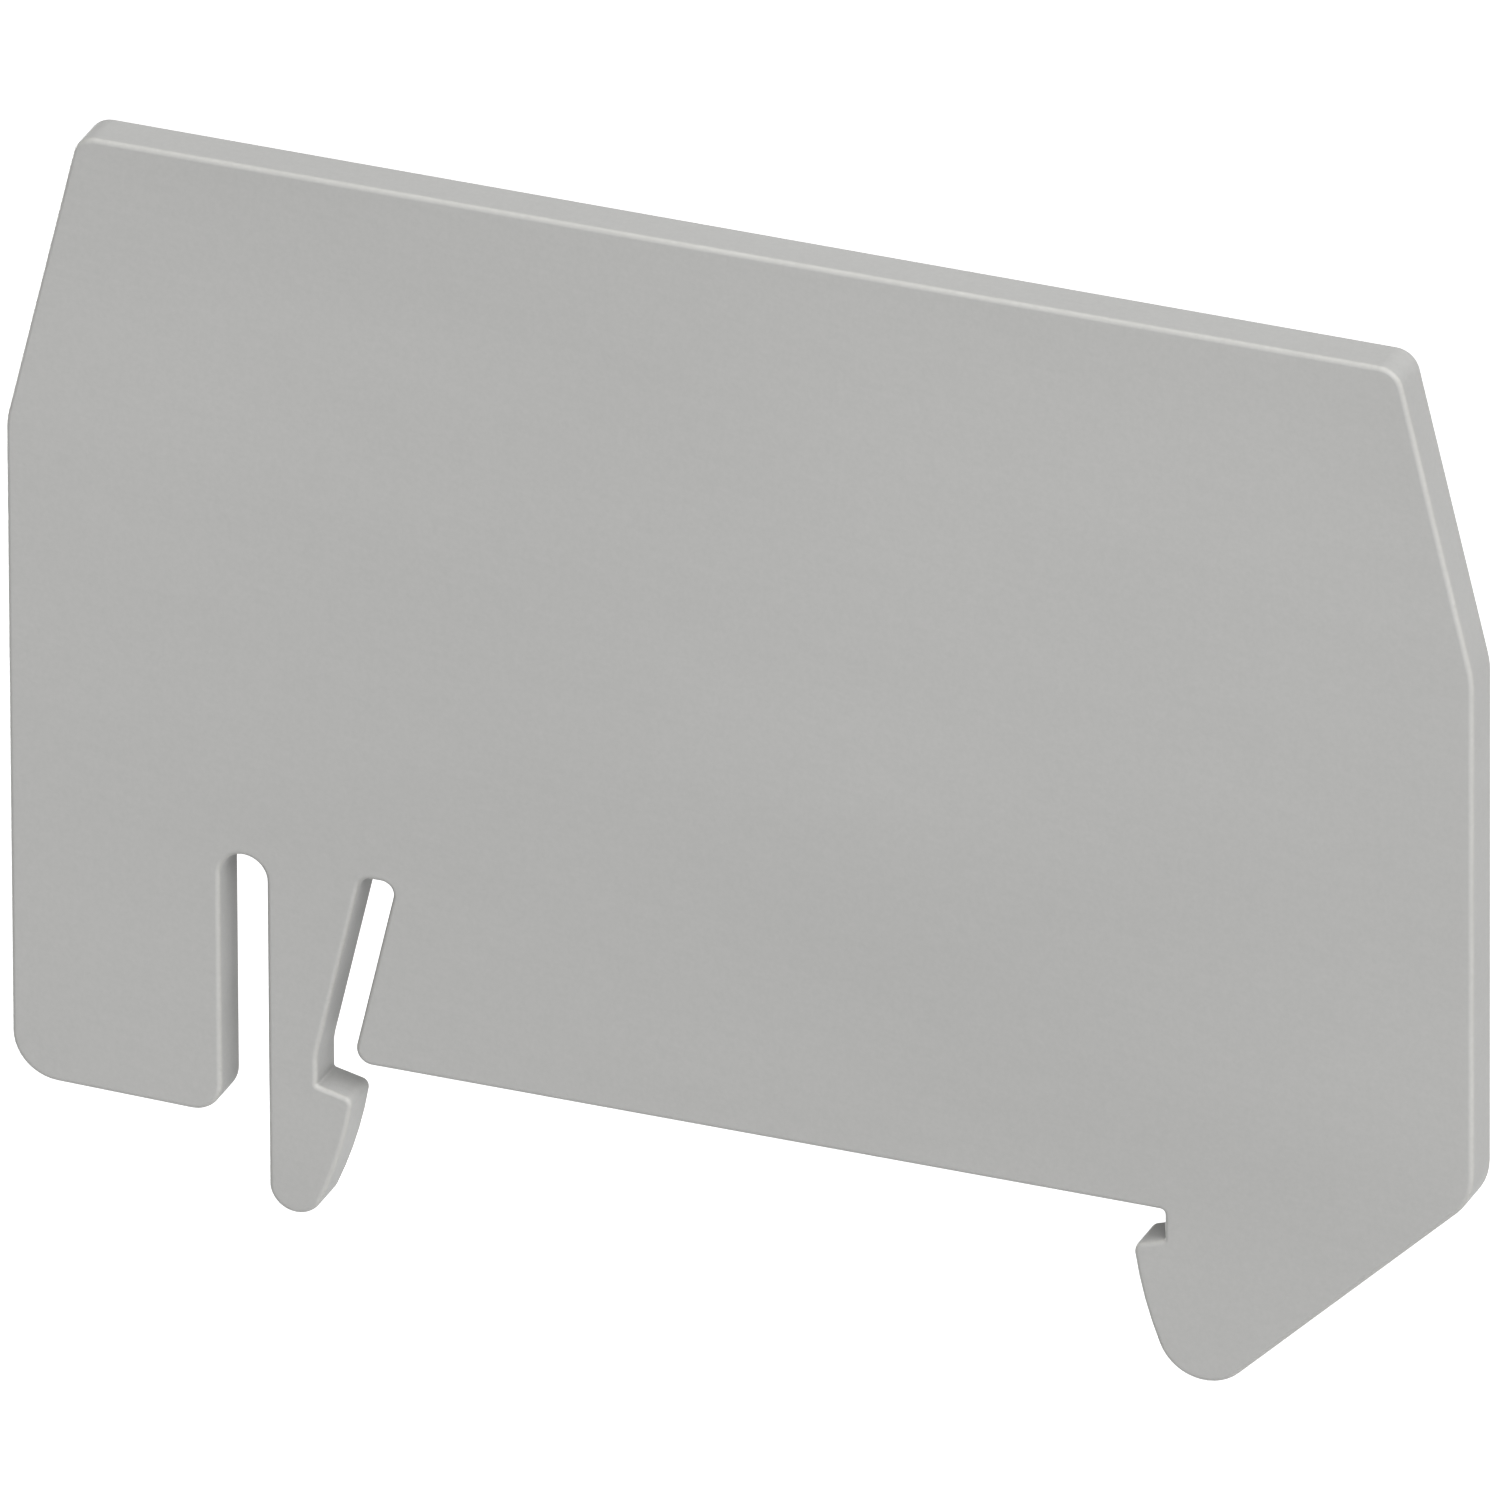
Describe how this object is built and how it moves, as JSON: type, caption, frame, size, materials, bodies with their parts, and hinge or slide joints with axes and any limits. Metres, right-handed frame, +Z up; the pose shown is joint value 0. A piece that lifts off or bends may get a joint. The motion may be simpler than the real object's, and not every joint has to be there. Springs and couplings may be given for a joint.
{
  "type": "terminal block partition plate",
  "caption": "Flat moulded partition plate that snaps onto a 35 mm top-hat rail between terminal blocks, with a spring foot on one side and a fixed hook on the other.",
  "frame": {"origin": "centre of the straight edge that sits on the rail, half way through the plate's thickness", "axes": "+X along the plate towards the fixed hook, +Y through its thickness towards the back face, +Z up and away from the rail"},
  "size_m": [0.061, 0.002, 0.0453],
  "materials": {
    "moulded_polyamide": "light grey polyamide, smooth matte moulded skin with softly rounded edges"
  },
  "bodies": {
    "root": {"partition_plate": "moulded_polyamide"}
  },
  "joints": []
}
